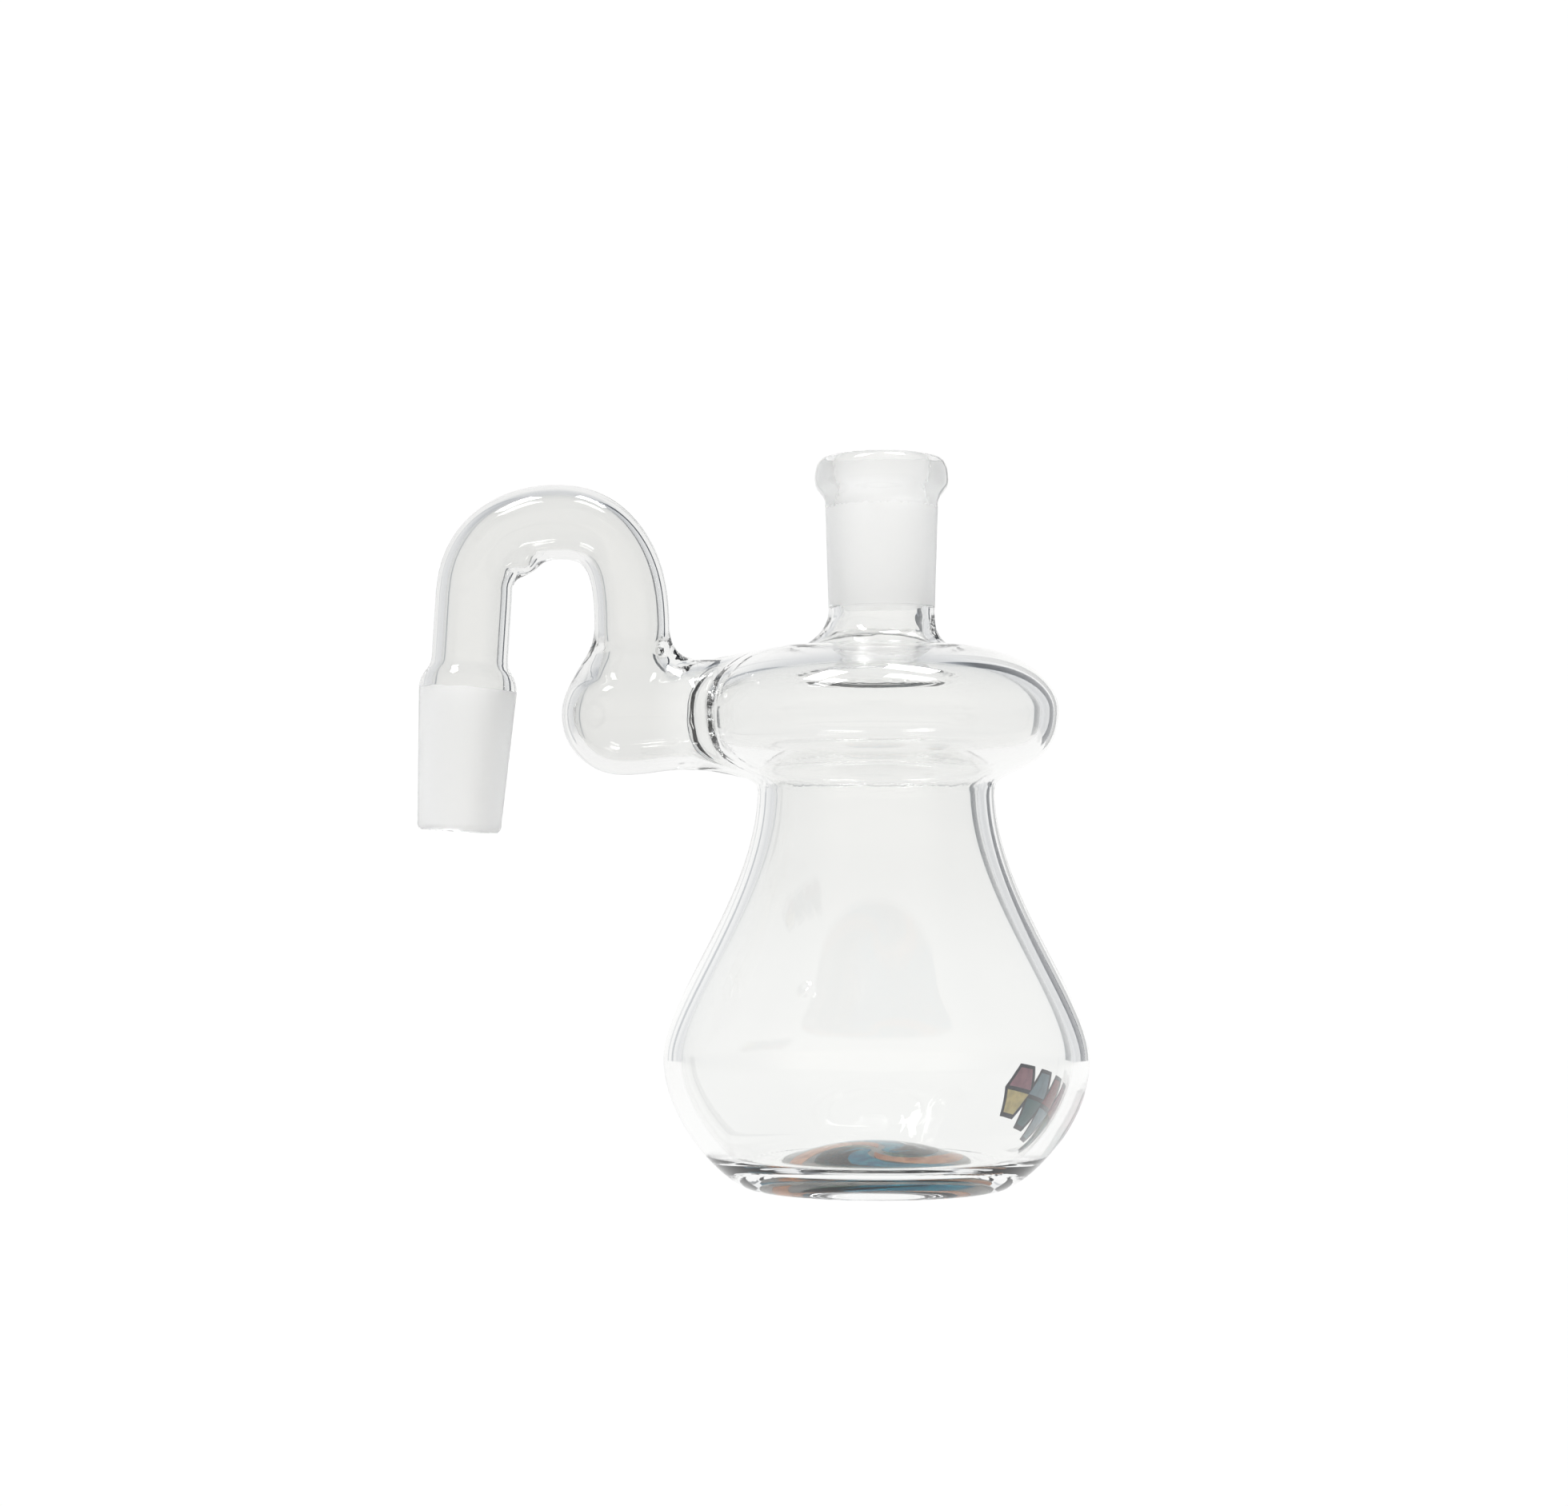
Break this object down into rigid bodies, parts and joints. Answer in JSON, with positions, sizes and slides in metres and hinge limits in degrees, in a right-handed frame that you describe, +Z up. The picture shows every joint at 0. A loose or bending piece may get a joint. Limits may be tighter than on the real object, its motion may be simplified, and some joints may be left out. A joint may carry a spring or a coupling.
{
  "type": "dry catcher vessel",
  "caption": "Clear glass trap: ground socket on a disc chamber over a pear-shaped chamber with a thick foot, and a gooseneck side arm ending in a ground male cone.",
  "frame": {"origin": "on the pear chamber's axis, at the flat underside of the foot", "axes": "+Z up along the pear's axis to the socket's mouth; the side arm leaves towards -X; +Y is away from the front"},
  "size_m": [0.0994, 0.063, 0.1083],
  "materials": {
    "clear_glass": "fire-polished clear borosilicate",
    "ground_glass": "fine ground, frosted white",
    "coloured_glass": "opaque swirled colours, glossy",
    "print_ink": "fired-on printed colours"
  },
  "bodies": {
    "root": {"ground_socket": "ground_glass", "socket_stub": "clear_glass", "disc_chamber": "clear_glass", "pear_chamber": "clear_glass", "foot_puck": "clear_glass", "port_collar": "clear_glass", "elbow_bulb": "clear_glass", "gooseneck_tube": "clear_glass", "cone_stub": "clear_glass", "ground_cone": "ground_glass", "foot_medallion": "coloured_glass", "printed_badge": "print_ink"}
  },
  "joints": []
}
